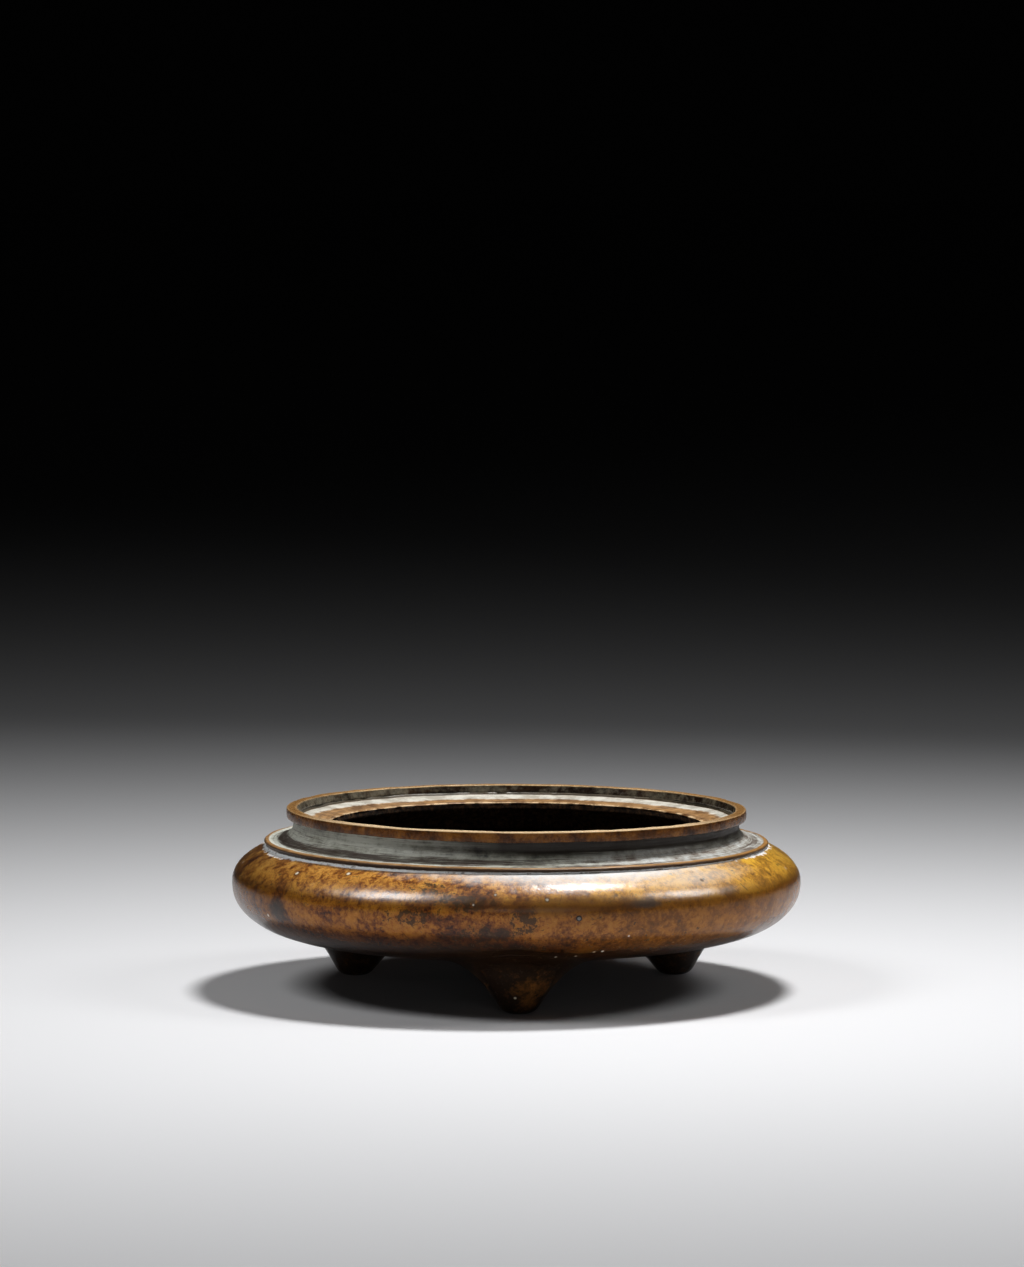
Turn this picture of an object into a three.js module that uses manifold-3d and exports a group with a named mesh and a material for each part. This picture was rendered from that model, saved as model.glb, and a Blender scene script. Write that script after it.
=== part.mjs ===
// A squat bronze incense burner on three feet: a hollow bowl with a round belly, a waisted
// neck with a bead at its foot, and an upright lip round the mouth.
// Millimetres, +Z up. The floor is Z 0, the bowl's axis is X 0, Y 0, and one foot is on the -Y side.
import * as THREE from "three";
import { mergeVertices } from "three/addons/utils/BufferGeometryUtils.js";
import Module from "manifold-3d";

// Fits between pieces
const FIT_GAP = 0.3; // clearance of a spigot, tenon or pin in its hole, and of a foot's saddle

// Bowl
const BELLY_R = 85.25; // outer radius at the widest level
const FOOT_HEIGHT = 15.5; // flat underside above the floor
const BELLY_DEPTH = 16.75; // widest level above the underside
const TURN_WIDTH = 29.9; // how far inside the widest radius the underside becomes level
const TURN_SQUARENESS = 2.18; // 2 is an ellipse, more is squarer
const SHOULDER_RISE = 17.1; // height the shoulder's line would reach above the widest level
const SHOULDER_WIDTH = 55.9; // how far inside the widest radius that line would become level
const SHOULDER_SQUARENESS = 2.22;
const SHOULDER_SET = 9.7; // how far inside the widest radius the shoulder is cut level for the collar
const WALL = 4; // wall of the belly
const FLOOR = 4.5; // thickness of the bowl's floor
const SEAT_WIDTH = 4.5; // level seat for the collar, from the shoulder's edge to the mouth's bore

// Neck collar
const SPIGOT_DEPTH = 2.4; // below the seat
const SPIGOT_WALL = 3.2;
const TUCK = 0.5; // recess under the bead, radial
const TUCK_RISE = 1.1; // recess under the bead, height
const BEAD_RISE = 0.4; // slanted underside of the bead
const BEAD_ROUND = 0.65; // height of the bead's rounded top
const BEAD_WIDTH = 1.3;
const CREASE = 0.2; // depth and width of the crease between bead and neck
const COVE_DEPTH = 7.3; // hollow of the neck, radial
const COVE_RISE = 4.7; // hollow of the neck, height
const NECK_RISE = 2.5; // upright edge above the hollow
const NECK_WALL = 3.4;
const RIM_WALL = 1.7; // upright edge that carries the lip
const LEDGE_STEP = 0.6; // lip's seat above the ledge's outer corner
const LEDGE_WIDTH = 9.15;
const LEDGE_FALL = 1.66; // slope of the ledge down to the mouth
const LEDGE_THICK = 2.1;
const LEDGE_FILLET = 1.2; // under the ledge, where it meets the neck's wall

// Lip ring
const LIP_OVERHANG = 2.15; // beyond the neck
const LIP_RISE = 2; // above its seat
const LIP_SKIRT = 0.8; // below its seat, outside the neck's upright edge
const LIP_BULGE = 0.3; // how far the band's middle stands out
const LIP_EASE = 0.4; // rounded edges of the top
const LIP_FLARE = 0.6; // how far the inner wall leans outward

// Feet
const FOOT_COUNT = 3;
const FOOT_INSET = 29.15; // foot's centre inside the belly's widest radius
const FOOT_TIP_R = 2.2; // flat end on the floor
const FOOT_TIP_ROUND = 4.2;
const FOOT_SLOPE = 55.5; // degrees, the foot's side above level
const FOOT_LEAN = 7; // degrees, how much steeper the outer side is, and gentler the inner side
const FOOT_BLEND = 11.3; // height over which the foot flares into the underside
const FOOT_EDGE = 0.5; // thickness left at the edge of the flare
const TENON_R = 5;
const TENON_RISE = 2.6; // above the underside

// Core pins
const PIN_COUNT = 3;
const PIN_R = 0.85;
const PIN_DROP = 1; // below the widest level
const PIN_TURN = 11.4; // degrees from the front foot
const PIN_HEAD_R = 1.8;
const PIN_HEAD = 1.2; // thickness of the head, let into the inside of the wall

// Fineness of the curves
const ROUND_STEPS = 64;
const TURN_STEPS = 11;
const INNER_TURN_STEPS = 7;
const SHOULDER_STEPS = 7;
const INNER_SHOULDER_STEPS = 5;
const COVE_STEPS = 7;
const SMALL_CURVE_STEPS = 4;
const FOOT_ROUND_STEPS = 36;
const FOOT_RINGS = 8;
const SADDLE_RINGS = 4;
const SMALL_ROUND_STEPS = 24;
const WELD = 1e-4; // points closer than this are one

// Radii that follow from the belly's
const seatR = BELLY_R - SHOULDER_SET;
const mouthR = seatR - SEAT_WIDTH;
const coveR = seatR - BEAD_WIDTH - CREASE;
const neckR = coveR - COVE_DEPTH;
const ledgeR = neckR - RIM_WALL;
const footR = BELLY_R - FOOT_INSET;
const turnR = BELLY_R - TURN_WIDTH;
const innerR = BELLY_R - WALL;

// Heights that follow from the floor's
const bellyZ = FOOT_HEIGHT + BELLY_DEPTH;
const floorZ = FOOT_HEIGHT + FLOOR;
const seatZ = bellyZ + heightAt(seatR, BELLY_R - SHOULDER_WIDTH, BELLY_R, SHOULDER_RISE, SHOULDER_SQUARENESS);
const beadZ = seatZ + TUCK_RISE + BEAD_RISE;
const coveZ = beadZ + BEAD_ROUND - CREASE;
const neckZ = coveZ + COVE_RISE;
const lipSeatZ = neckZ + NECK_RISE;

const { Manifold, Mesh: SolidMesh } = await startSolids();

async function startSolids() {
  const wasm = await Module();
  wasm.setup();
  return wasm;
}

// The belly's lines are squared ellipses: the angle at which one reaches a radius, and its height there.
function angleAt(r, levelR, widestR, squareness) {
  const share = Math.min(Math.max((r - levelR) / (widestR - levelR), 0), 1);
  return Math.acos(share ** (squareness / 2));
}

function heightAt(r, levelR, widestR, rise, squareness) {
  return rise * Math.sin(angleAt(r, levelR, widestR, squareness)) ** (2 / squareness);
}

function squaredArc(from, to, steps, levelR, widestR, rise, squareness) {
  const points = [];
  for (let i = 0; i <= steps; i++) {
    const angle = from + ((to - from) * i) / steps;
    const r = levelR + (widestR - levelR) * Math.abs(Math.cos(angle)) ** (2 / squareness);
    points.push([r, bellyZ + rise * Math.sin(angle) ** (2 / squareness)]);
  }
  return points;
}

function ellipseArc(r, z, halfWidth, halfHeight, from, to, steps) {
  const points = [];
  for (let i = 0; i <= steps; i++) {
    const angle = from + ((to - from) * i) / steps;
    points.push([r + halfWidth * Math.cos(angle), z + halfHeight * Math.sin(angle)]);
  }
  return points;
}

function turned(profile, steps) {
  const points = profile.map(([r, z]) => new THREE.Vector2(r, z));
  return new THREE.LatheGeometry(points, steps).rotateX(Math.PI / 2);
}

function turnedRing(profile) {
  return turned([...profile, profile[0]], ROUND_STEPS);
}

function toSolid(geometry) {
  const bare = new THREE.BufferGeometry();
  bare.setAttribute("position", geometry.getAttribute("position"));
  bare.setIndex(geometry.index);
  const merged = mergeVertices(bare, WELD);
  return new Manifold(
    new SolidMesh({
      numProp: 3,
      vertProperties: merged.attributes.position.array,
      triVerts: new Uint32Array(merged.index.array),
    }),
  );
}

function toGeometry(solid) {
  const mesh = solid.getMesh();
  const geometry = new THREE.BufferGeometry();
  geometry.setAttribute("position", new THREE.BufferAttribute(mesh.vertProperties, 3));
  geometry.setIndex(new THREE.BufferAttribute(mesh.triVerts, 1));
  geometry.computeVertexNormals();
  return geometry;
}

function undersideAt(r) {
  return bellyZ - heightAt(r, turnR, BELLY_R, BELLY_DEPTH, TURN_SQUARENESS);
}

// Bowl: one casting with a level seat round its mouth, sockets for the feet and stepped holes for the pins.
function bowlBody() {
  const levelR = BELLY_R - SHOULDER_WIDTH;
  const innerRise = SHOULDER_RISE - WALL;
  const square = SHOULDER_SQUARENESS;
  const seatAngle = angleAt(seatR, levelR, BELLY_R, square);
  const mouthAngle = angleAt(mouthR, levelR, innerR, square);
  const quarter = Math.PI / 2;
  const shoulder = squaredArc(0, seatAngle, SHOULDER_STEPS, levelR, BELLY_R, SHOULDER_RISE, square);
  return turned(
    [
      [0, FOOT_HEIGHT],
      ...squaredArc(quarter, 0, TURN_STEPS, turnR, BELLY_R, -BELLY_DEPTH, TURN_SQUARENESS),
      ...shoulder.slice(1),
      [mouthR, seatZ],
      ...squaredArc(mouthAngle, 0, INNER_SHOULDER_STEPS, levelR, innerR, innerRise, square),
      ...squaredArc(0, quarter, INNER_TURN_STEPS, turnR, innerR, floorZ - bellyZ, TURN_SQUARENESS).slice(1),
      [0, floorZ],
    ],
    ROUND_STEPS,
  );
}

// Neck collar: spigot, bead, hollow neck and, inside, the sloping ledge round the mouth.
function collarBody() {
  const spigotR = mouthR - FIT_GAP;
  const spigotZ = seatZ - SPIGOT_DEPTH;
  const insideR = spigotR - SPIGOT_WALL;
  const cornerZ = lipSeatZ - LEDGE_STEP;
  const filletR = neckR - NECK_WALL - LEDGE_FILLET;
  const filletZ = cornerZ - LEDGE_THICK - (LEDGE_FALL * (ledgeR - filletR)) / LEDGE_WIDTH;
  const flareWidth = COVE_DEPTH + NECK_WALL;
  const flareRise = COVE_RISE + NECK_WALL;
  const flareTop = Math.asin((neckZ - filletZ + LEDGE_FILLET) / flareRise) - Math.PI;
  const flareFoot = Math.acos((coveR - insideR) / flareWidth) - Math.PI;
  return turnedRing([
    [insideR, spigotZ],
    [spigotR, spigotZ],
    [spigotR, seatZ],
    [seatR - TUCK, seatZ],
    [seatR - TUCK, seatZ + TUCK_RISE],
    ...ellipseArc(seatR - BEAD_WIDTH, beadZ, BEAD_WIDTH, BEAD_ROUND, 0, Math.PI / 2, SMALL_CURVE_STEPS),
    ...ellipseArc(coveR, neckZ, COVE_DEPTH, COVE_RISE, -Math.PI / 2, -Math.PI, COVE_STEPS),
    [neckR, lipSeatZ],
    [ledgeR, lipSeatZ],
    [ledgeR, cornerZ],
    [ledgeR - LEDGE_WIDTH, cornerZ - LEDGE_FALL],
    [ledgeR - LEDGE_WIDTH, cornerZ - LEDGE_FALL - LEDGE_THICK],
    [filletR, filletZ],
    ...ellipseArc(coveR, neckZ, flareWidth, flareRise, flareTop, flareFoot, SMALL_CURVE_STEPS),
  ]);
}

// Lip ring: a rebated hoop that drops over the neck's upright edge and rests on its top.
function lipBody() {
  const lipR = neckR + LIP_OVERHANG;
  const topZ = lipSeatZ + LIP_RISE;
  const skirtZ = lipSeatZ - LIP_SKIRT;
  const bandZ = (skirtZ + topZ) / 2;
  return turnedRing([
    [neckR + FIT_GAP, skirtZ],
    [lipR - LIP_BULGE, skirtZ],
    [lipR - LIP_BULGE / 4, (skirtZ + bandZ) / 2],
    [lipR, bandZ],
    [lipR - LIP_BULGE / 4, topZ - LIP_EASE],
    [lipR - LIP_EASE, topZ],
    [ledgeR + LIP_FLARE + LIP_EASE, topZ],
    [ledgeR + LIP_FLARE, topZ - LIP_EASE],
    [ledgeR, lipSeatZ],
    [neckR + FIT_GAP, lipSeatZ],
  ]);
}

// Height of a foot's own side at a distance and turn from its centre: flat tip, rounded edge, straight slope.
function footSideAt(distance, turn) {
  const slope = THREE.MathUtils.degToRad(FOOT_SLOPE - FOOT_LEAN * Math.sin(turn));
  const out = distance - FOOT_TIP_R;
  if (out <= 0) return 0;
  const roundEnd = FOOT_TIP_ROUND * Math.sin(slope);
  if (out < roundEnd) return FOOT_TIP_ROUND - Math.sqrt(FOOT_TIP_ROUND ** 2 - out ** 2);
  return FOOT_TIP_ROUND * (1 - Math.cos(slope)) + (out - roundEnd) * Math.tan(slope);
}

// The side flares smoothly into the bowl's underside.
function footSurfaceAt(side, underside) {
  const near = Math.max(FOOT_BLEND - Math.abs(side - underside), 0);
  return Math.min(side, underside) - near ** 2 / (4 * FOOT_BLEND);
}

function footPoint(distance, turn) {
  const x = distance * Math.cos(turn);
  const y = -footR + distance * Math.sin(turn);
  const side = footSideAt(distance, turn);
  const underside = undersideAt(Math.hypot(x, y));
  return { x, y, side, saddle: underside - FIT_GAP, surface: footSurfaceAt(side, underside) };
}

// How far the flare reaches on one side, until only the edge's thickness is left under the saddle.
function footReach(turn) {
  let near = FOOT_TIP_R;
  let far = footR;
  let middle = (near + far) / 2;
  while (middle > near && middle < far) {
    const { saddle, surface, side } = footPoint(middle, turn);
    if (side < saddle || saddle - surface > FOOT_EDGE) near = middle;
    else far = middle;
    middle = (near + far) / 2;
  }
  return near;
}

// Foot: rings of points from the flat tip out over the flare, then back in over the saddle on top.
function footBody() {
  const positions = [];
  const rings = FOOT_RINGS + SADDLE_RINGS;
  const turns = Array.from({ length: FOOT_ROUND_STEPS }, (_, i) => (2 * Math.PI * i) / FOOT_ROUND_STEPS);
  const reaches = turns.map(footReach);
  positions.push(0, -footR, 0);
  for (let ring = 0; ring < rings; ring++) {
    turns.forEach((turn, i) => {
      const onTop = ring >= FOOT_RINGS;
      const share = onTop ? (rings - ring) / SADDLE_RINGS : ring / (FOOT_RINGS - 1);
      const start = onTop ? 0 : FOOT_TIP_R;
      const { x, y, saddle, surface } = footPoint(start + (reaches[i] - start) * share, turn);
      positions.push(x, y, onTop ? saddle : surface);
    });
  }
  positions.push(0, -footR, footPoint(0, 0).saddle);
  const last = positions.length / 3 - 1;
  const index = [];
  for (let i = 0; i < FOOT_ROUND_STEPS; i++) {
    const next = (i + 1) % FOOT_ROUND_STEPS;
    index.push(0, 1 + next, 1 + i);
    for (let ring = 0; ring < rings - 1; ring++) {
      const inner = 1 + ring * FOOT_ROUND_STEPS;
      const outer = inner + FOOT_ROUND_STEPS;
      index.push(inner + i, inner + next, outer + next);
      index.push(inner + i, outer + next, outer + i);
    }
    const top = 1 + (rings - 1) * FOOT_ROUND_STEPS;
    index.push(top + i, top + next, last);
  }
  const geometry = new THREE.BufferGeometry();
  geometry.setAttribute("position", new THREE.Float32BufferAttribute(positions, 3));
  geometry.setIndex(index);
  return geometry;
}

// An upright round peg from one height to another, at the front foot's centre.
function footPeg(radius, fromZ, toZ) {
  const peg = new THREE.CylinderGeometry(radius, radius, toZ - fromZ, SMALL_ROUND_STEPS);
  return peg.rotateX(Math.PI / 2).translate(0, -footR, (fromZ + toZ) / 2);
}

// A pin lies level through the wall, its head let into the inside; the hole is the same shape with clearance.
function pinBody(gap, overrun) {
  const headY = innerR - overrun;
  const shoulderY = innerR + PIN_HEAD;
  const profile = [
    [0, headY],
    [PIN_HEAD_R + gap, headY],
    [PIN_HEAD_R + gap, shoulderY],
    [PIN_R + gap, shoulderY],
    [PIN_R + gap, BELLY_R + overrun],
    [0, BELLY_R + overrun],
  ];
  return turned(profile, SMALL_ROUND_STEPS)
    .rotateX(Math.PI / 2)
    .translate(0, 0, bellyZ - PIN_DROP);
}

const footTurns = Array.from({ length: FOOT_COUNT }, (_, i) => (2 * Math.PI * i) / FOOT_COUNT);
const pinTurns = Array.from(
  { length: PIN_COUNT },
  (_, i) => THREE.MathUtils.degToRad(PIN_TURN) + (2 * Math.PI * i) / PIN_COUNT,
);

const tenonTop = FOOT_HEIGHT + TENON_RISE;
const socket = footPeg(TENON_R + FIT_GAP, FOOT_HEIGHT / 2, tenonTop);
const pinHole = pinBody(FIT_GAP, WALL / 2);
let bowlSolid = toSolid(bowlBody());
for (const turn of footTurns) bowlSolid = bowlSolid.subtract(toSolid(socket.clone().rotateZ(turn)));
for (const turn of pinTurns) bowlSolid = bowlSolid.subtract(toSolid(pinHole.clone().rotateZ(turn)));

const footSolid = toSolid(footBody()).add(toSolid(footPeg(TENON_R, FOOT_HEIGHT / 2, tenonTop)));
const footGeometry = toGeometry(footSolid);
const pinGeometry = pinBody(0, 0);

const burner = new THREE.Group();

function addPiece(name, geometry, colour, roughness, turn = 0) {
  const material = new THREE.MeshStandardMaterial({ color: colour, roughness, metalness: 1 });
  const mesh = new THREE.Mesh(geometry, material);
  mesh.name = name;
  mesh.rotation.z = turn;
  burner.add(mesh);
}

addPiece("bowl", toGeometry(bowlSolid), "#8c6039", 0.42);
addPiece("neck_collar", collarBody(), "#85826f", 0.6);
addPiece("lip_ring", lipBody(), "#5f4020", 0.42);
["foot_front", "foot_rear_right", "foot_rear_left"].forEach((name, i) => {
  addPiece(name, footGeometry, "#4a3421", 0.45, footTurns[i]);
});
["core_pin_front", "core_pin_rear_right", "core_pin_rear_left"].forEach((name, i) => {
  addPiece(name, pinGeometry, "#77706a", 0.5, pinTurns[i]);
});

export default burner;
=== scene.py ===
import math

import bpy
import numpy as np
from mathutils import Matrix, Vector


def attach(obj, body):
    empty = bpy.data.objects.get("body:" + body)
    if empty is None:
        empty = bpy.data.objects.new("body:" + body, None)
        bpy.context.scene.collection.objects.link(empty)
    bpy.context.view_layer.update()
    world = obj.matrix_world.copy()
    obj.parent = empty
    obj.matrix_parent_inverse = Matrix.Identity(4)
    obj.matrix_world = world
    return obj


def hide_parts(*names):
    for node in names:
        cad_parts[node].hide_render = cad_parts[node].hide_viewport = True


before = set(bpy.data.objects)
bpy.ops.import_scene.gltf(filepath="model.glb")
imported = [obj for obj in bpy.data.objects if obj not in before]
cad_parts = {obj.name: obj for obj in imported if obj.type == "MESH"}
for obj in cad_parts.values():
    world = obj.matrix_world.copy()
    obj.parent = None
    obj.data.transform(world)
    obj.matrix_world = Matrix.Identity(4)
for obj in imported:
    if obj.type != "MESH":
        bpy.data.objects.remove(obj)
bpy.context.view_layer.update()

# The bowl: a squat round belly, cast in bronze with a wall of about 4 mm over a clay core.
# Outside, handling has worn a brown patina to gold, with dark mottling left in front and low down, where
# painted shade is mixed in; under the neck a pale crust stays on the shoulder, with a painted highlight over
# it in front, and inside it is black with soot.
MM = 0.001
AROUND = 640  # points round the axis, about 0.8 mm apart on the belly
SAME_POINT = 1e-6  # points closer than this are one
BELLY_R = 85.25
BELLY_Z = 32.25
UNDERSIDE_Z = 15.5
TURN_R = 55.35  # where the underside becomes level
TURN_SQUARENESS = 2.18  # 2 is an ellipse, more is squarer
SHOULDER_RISE = 17.1
SHOULDER_LEVEL_R = 29.35  # where the shoulder's line would become level
SHOULDER_SQUARENESS = 2.22
SEAT_R = 75.55
MOUTH_R = 71.05
WALL = 4.0
FLOOR_Z = 20.0


def squared_angle(r, level_r, widest_r, squareness):
    """The angle at which a squared ellipse, level at one radius and upright at another, reaches a radius."""
    return math.acos(((r - level_r) / (widest_r - level_r)) ** (squareness / 2))


def squared_arc(start, end, steps, level_r, widest_r, rise, squareness):
    """Part of such an ellipse, which starts from the belly's widest level."""
    angles = np.linspace(start, end, steps + 1)
    r = level_r + (widest_r - level_r) * np.abs(np.cos(angles)) ** (2 / squareness)
    z = BELLY_Z + rise * np.abs(np.sin(angles)) ** (2 / squareness)
    return list(zip(r, z))


def straight(start, end, steps):
    start, end = np.array(start), np.array(end)
    return [tuple(start + (end - start) * i / steps) for i in range(steps + 1)]


def joined(*runs):
    """One section line from several runs, without the points that two runs share."""
    points = [runs[0][0]]
    for run in runs:
        points += [p for p in run if math.dist(p, points[-1]) > SAME_POINT]
    return points


def closed_faces(rings, around, tips):
    """The faces of a shape made of rings of points.

    With tips, one point comes before the first ring and one after the last.
    Without, the last ring joins the first."""
    starts = [int(tips) + i * around for i in range(rings)]
    faces = []
    for j in range(around):
        k = (j + 1) % around
        for low, high in zip(starts, starts[1:] if tips else starts[1:] + starts[:1]):
            faces.append((low + j, low + k, high + k, high + j))
        if tips:
            faces.append((0, starts[0] + k, starts[0] + j))
            faces.append((starts[-1] + j, starts[-1] + k, starts[-1] + around))
    return faces


def mesh_object(name, vertices, faces, soot):
    mesh = bpy.data.meshes.new(name)
    mesh.from_pydata((np.asarray(vertices) * MM).tolist(), [], faces)
    values = np.asarray(soot, dtype=np.float32)
    mesh.attributes.new("soot", "FLOAT", "POINT").data.foreach_set("value", values)
    mesh.shade_smooth()
    made = bpy.data.objects.new(name, mesh)
    bpy.context.scene.collection.objects.link(made)
    return made


def turned(name, section, soot, lean=(0, 0, 0)):
    """A section line turned about the axis: closed on itself, or on the axis where it starts and ends there.

    The lean is its rise to the right and to the back, per mm, and its lift as a whole."""
    tips = section[0][0] == 0
    turns = np.arange(AROUND) * 2 * math.pi / AROUND
    rings = []
    for r, z in section[1:-1] if tips else section:
        x, y = r * np.sin(turns), -r * np.cos(turns)
        rings.append(np.column_stack([x, y, z + lean[0] * x + lean[1] * y + lean[2]]))
    faces = closed_faces(len(rings), AROUND, tips)
    points_each = [AROUND] * len(section)
    if tips:
        rings = [[(0, 0, section[0][1])], *rings, [(0, 0, section[-1][1])]]
        points_each[0] = points_each[-1] = 1
    return mesh_object(name, np.concatenate(rings), faces, np.repeat(soot, points_each))


turn = squared_arc(math.pi / 2, 0, 60, TURN_R, BELLY_R, UNDERSIDE_Z - BELLY_Z, TURN_SQUARENESS)
seat_angle = squared_angle(SEAT_R, SHOULDER_LEVEL_R, BELLY_R, SHOULDER_SQUARENESS)
shoulder = squared_arc(0, seat_angle, 30, SHOULDER_LEVEL_R, BELLY_R, SHOULDER_RISE, SHOULDER_SQUARENESS)
SEAT_Z = shoulder[-1][1]
inside_r = BELLY_R - WALL
mouth_angle = squared_angle(MOUTH_R, SHOULDER_LEVEL_R, inside_r, SHOULDER_SQUARENESS)
inner_shoulder = squared_arc(mouth_angle, 0, 8, SHOULDER_LEVEL_R, inside_r, SHOULDER_RISE - WALL,
                             SHOULDER_SQUARENESS)
inner_turn = squared_arc(0, math.pi / 2, 12, TURN_R, inside_r, FLOOR_Z - BELLY_Z, TURN_SQUARENESS)
outside = joined(straight((0, UNDERSIDE_Z), turn[0], 5), turn, shoulder,
                 straight((SEAT_R, SEAT_Z), (MOUTH_R, SEAT_Z), 3))
inside = joined(inner_shoulder, inner_turn, straight((TURN_R, FLOOR_Z), (0, FLOOR_Z), 4))
bowl = turned("bowl_body", outside + inside, [0.0] * len(outside) + [1.0] * len(inside))

# Casting and wear as geometry: the whole surface wanders a little, with shallow dents and a few pits.
WEAR_SIZES = ("Wander", "Wander size", "Dent", "Dent size", "Pit depth", "Pit spacing")


def add(tree, kind, inputs=None, **settings):
    """Adds one node and gives its outputs; an input is a number, a colour, or another node's output."""
    made = tree.nodes.new(kind)
    for key, value in settings.items():
        setattr(made, key, value)
    for key, value in (inputs or {}).items():
        if isinstance(value, bpy.types.NodeSocket):
            tree.links.new(value, made.inputs[key])
        else:
            made.inputs[key].default_value = value
    return made.outputs


def new_tree(name, kinds):
    """An empty geometry tree with named inputs, and those inputs' identifiers."""
    tree = bpy.data.node_groups.new(name, "GeometryNodeTree")
    tree.interface.new_socket("Geometry", in_out="INPUT", socket_type="NodeSocketGeometry")
    sockets = {}
    for label, kind in kinds.items():
        sockets[label] = tree.interface.new_socket(label, in_out="INPUT", socket_type=kind).identifier
    tree.interface.new_socket("Geometry", in_out="OUTPUT", socket_type="NodeSocketGeometry")
    return tree, sockets


worn, worn_sizes = new_tree("cast and worn surface", {
    **{label: "NodeSocketFloat" for label in WEAR_SIZES}, "Material": "NodeSocketMaterial"})
given = add(worn, "NodeGroupInput")
place = add(worn, "GeometryNodeInputPosition")[0]
facing = add(worn, "GeometryNodeInputNormal")[0]
per_size = {}
for label in ("Wander size", "Dent size", "Pit spacing"):
    per_size[label] = add(worn, "ShaderNodeMath", {0: 1.0, 1: given[label]}, operation="DIVIDE")[0]
wander = add(worn, "ShaderNodeTexNoise",
             {"Vector": place, "Scale": per_size["Wander size"], "Detail": 3.0})["Color"]
wander = add(worn, "ShaderNodeVectorMath", {0: wander, 1: (0.5, 0.5, 0.5)}, operation="SUBTRACT")[0]
wander = add(worn, "ShaderNodeVectorMath", {0: wander, "Scale": given["Wander"]}, operation="SCALE")[0]
dent = add(worn, "ShaderNodeTexNoise",
           {"Vector": place, "Scale": per_size["Dent size"], "Detail": 4.0})["Fac"]
dent = add(worn, "ShaderNodeMath", {0: dent, 1: 0.5}, operation="SUBTRACT")[0]
dent = add(worn, "ShaderNodeMath", {0: dent, 1: given["Dent"]}, operation="MULTIPLY")[0]
pit = add(worn, "ShaderNodeTexVoronoi", {"Vector": place, "Scale": per_size["Pit spacing"]})["Distance"]
pit = add(worn, "ShaderNodeMapRange", {0: pit, 1: 0.2, 2: 0.08}, interpolation_type="SMOOTHSTEP")[0]
pit = add(worn, "ShaderNodeMath", {0: pit, 1: given["Pit depth"]}, operation="MULTIPLY")[0]
depth = add(worn, "ShaderNodeMath", {0: dent, 1: pit}, operation="SUBTRACT")[0]
push = add(worn, "ShaderNodeVectorMath", {0: facing, "Scale": depth}, operation="SCALE")[0]
offset = add(worn, "ShaderNodeVectorMath", {0: wander, 1: push}, operation="ADD")[0]
moved = add(worn, "GeometryNodeSetPosition", {"Geometry": given["Geometry"], "Offset": offset})[0]
plain = add(worn, "GeometryNodeRealizeInstances", {0: moved})[0]
dressed = add(worn, "GeometryNodeSetMaterial", {"Geometry": plain, "Material": given["Material"]})[0]
add(worn, "NodeGroupOutput", {0: dressed})


def made_plain(piece, tree, sockets, values):
    """Runs a geometry tree on a piece and keeps the result as its plain mesh."""
    modifier = piece.modifiers.new(tree.name, "NODES")
    modifier.node_group = tree
    for label, value in values.items():
        modifier[sockets[label]] = value
    seen = piece.evaluated_get(bpy.context.evaluated_depsgraph_get())
    result = bpy.data.meshes.new_from_object(seen)
    piece.modifiers.remove(modifier)
    piece.data = result
    piece.data.shade_smooth()


def linear(code):
    """An sRGB hex colour as linear light."""
    parts = [int(code[i:i + 2], 16) / 255 for i in (1, 3, 5)]
    return tuple(c / 12.92 if c <= 0.04045 else ((c + 0.055) / 1.055) ** 2.4 for c in parts) + (1.0,)


def set_stops(tone_with_shade, *stops):
    """Gives the colour ramp behind an output its stops, each a position and a colour."""
    elements = tone_with_shade.node.color_ramp.elements
    for end in (0, -1):
        elements[end].position = stops[end][0]
        elements[end].color = linear(stops[end][1])
    for position, code in stops[1:-1]:
        elements.new(position).color = linear(code)


def per_metre(size_mm):
    """A texture's scale for a pattern of this size."""
    return 1 / (size_mm * MM)


def in_metres(point):
    return tuple(v * MM for v in point)


def away_from(tree, place, centre, reach):
    """How far a place lies from a centre, in shares of a reach along each axis; both are in mm."""
    away = add(tree, "ShaderNodeVectorMath", {0: place, 1: in_metres(centre)}, operation="SUBTRACT")[0]
    shares = tuple(per_metre(v) for v in reach)
    away = add(tree, "ShaderNodeVectorMath", {0: away, 1: shares}, operation="MULTIPLY")[0]
    return add(tree, "ShaderNodeVectorMath", {0: away}, operation="LENGTH")["Value"]


def new_finish(name):
    """An empty material, and its node tree."""
    made = bpy.data.materials.new(name)
    made.use_nodes = True
    made.node_tree.nodes.clear()
    return made, made.node_tree


# Brown patina on cast bronze, rubbed and waxed: oxide and wax cover the metal, so its lights stay white.
# It gives amber and ochre clouds, dark oxide in ragged patches, and a haze where it mirrors the floor.
patina, skin = new_finish("waxed brown patina on cast bronze")
place = add(skin, "ShaderNodeTexCoord")["Object"]
axes = add(skin, "ShaderNodeSeparateXYZ", {0: place})
level = axes["Z"]
# From the underside up, the skin goes from almost black to brown, is darker again above the belly's widest
# level, and turns to amber gold on the rubbed shoulder; clouds of about 14 mm make these levels uneven.
# The dark low down is partly darker patina and partly painted shade of the shadowed floor that the belly
# mirrors; the darker band above the widest level is painted shade, the dark room that it mirrors.
# Left and in front the gold is redder, right it is yellower, and the far left edge is darkened with painted
# shade.
LEVELS = (0.0, 0.16, 0.31, 0.41, 0.55, 0.67, 0.79, 1.0)
LEFT_TONES_WITH_SHADE = ("#120b07", "#2c1a0c", "#5c340e", "#a66c22", "#b47830", "#a26e18", "#e6a948", "#eeb566")
RIGHT_TONES_WITH_SHADE = ("#1a100a", "#40260c", "#8e5a16", "#a87028", "#9e6828", "#8a5b0e", "#f2b840", "#ffca48")
clouds = add(skin, "ShaderNodeTexNoise",
             {"Vector": place, "Scale": per_metre(14), "Detail": 4.0, "Roughness": 0.6})["Fac"]
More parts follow.
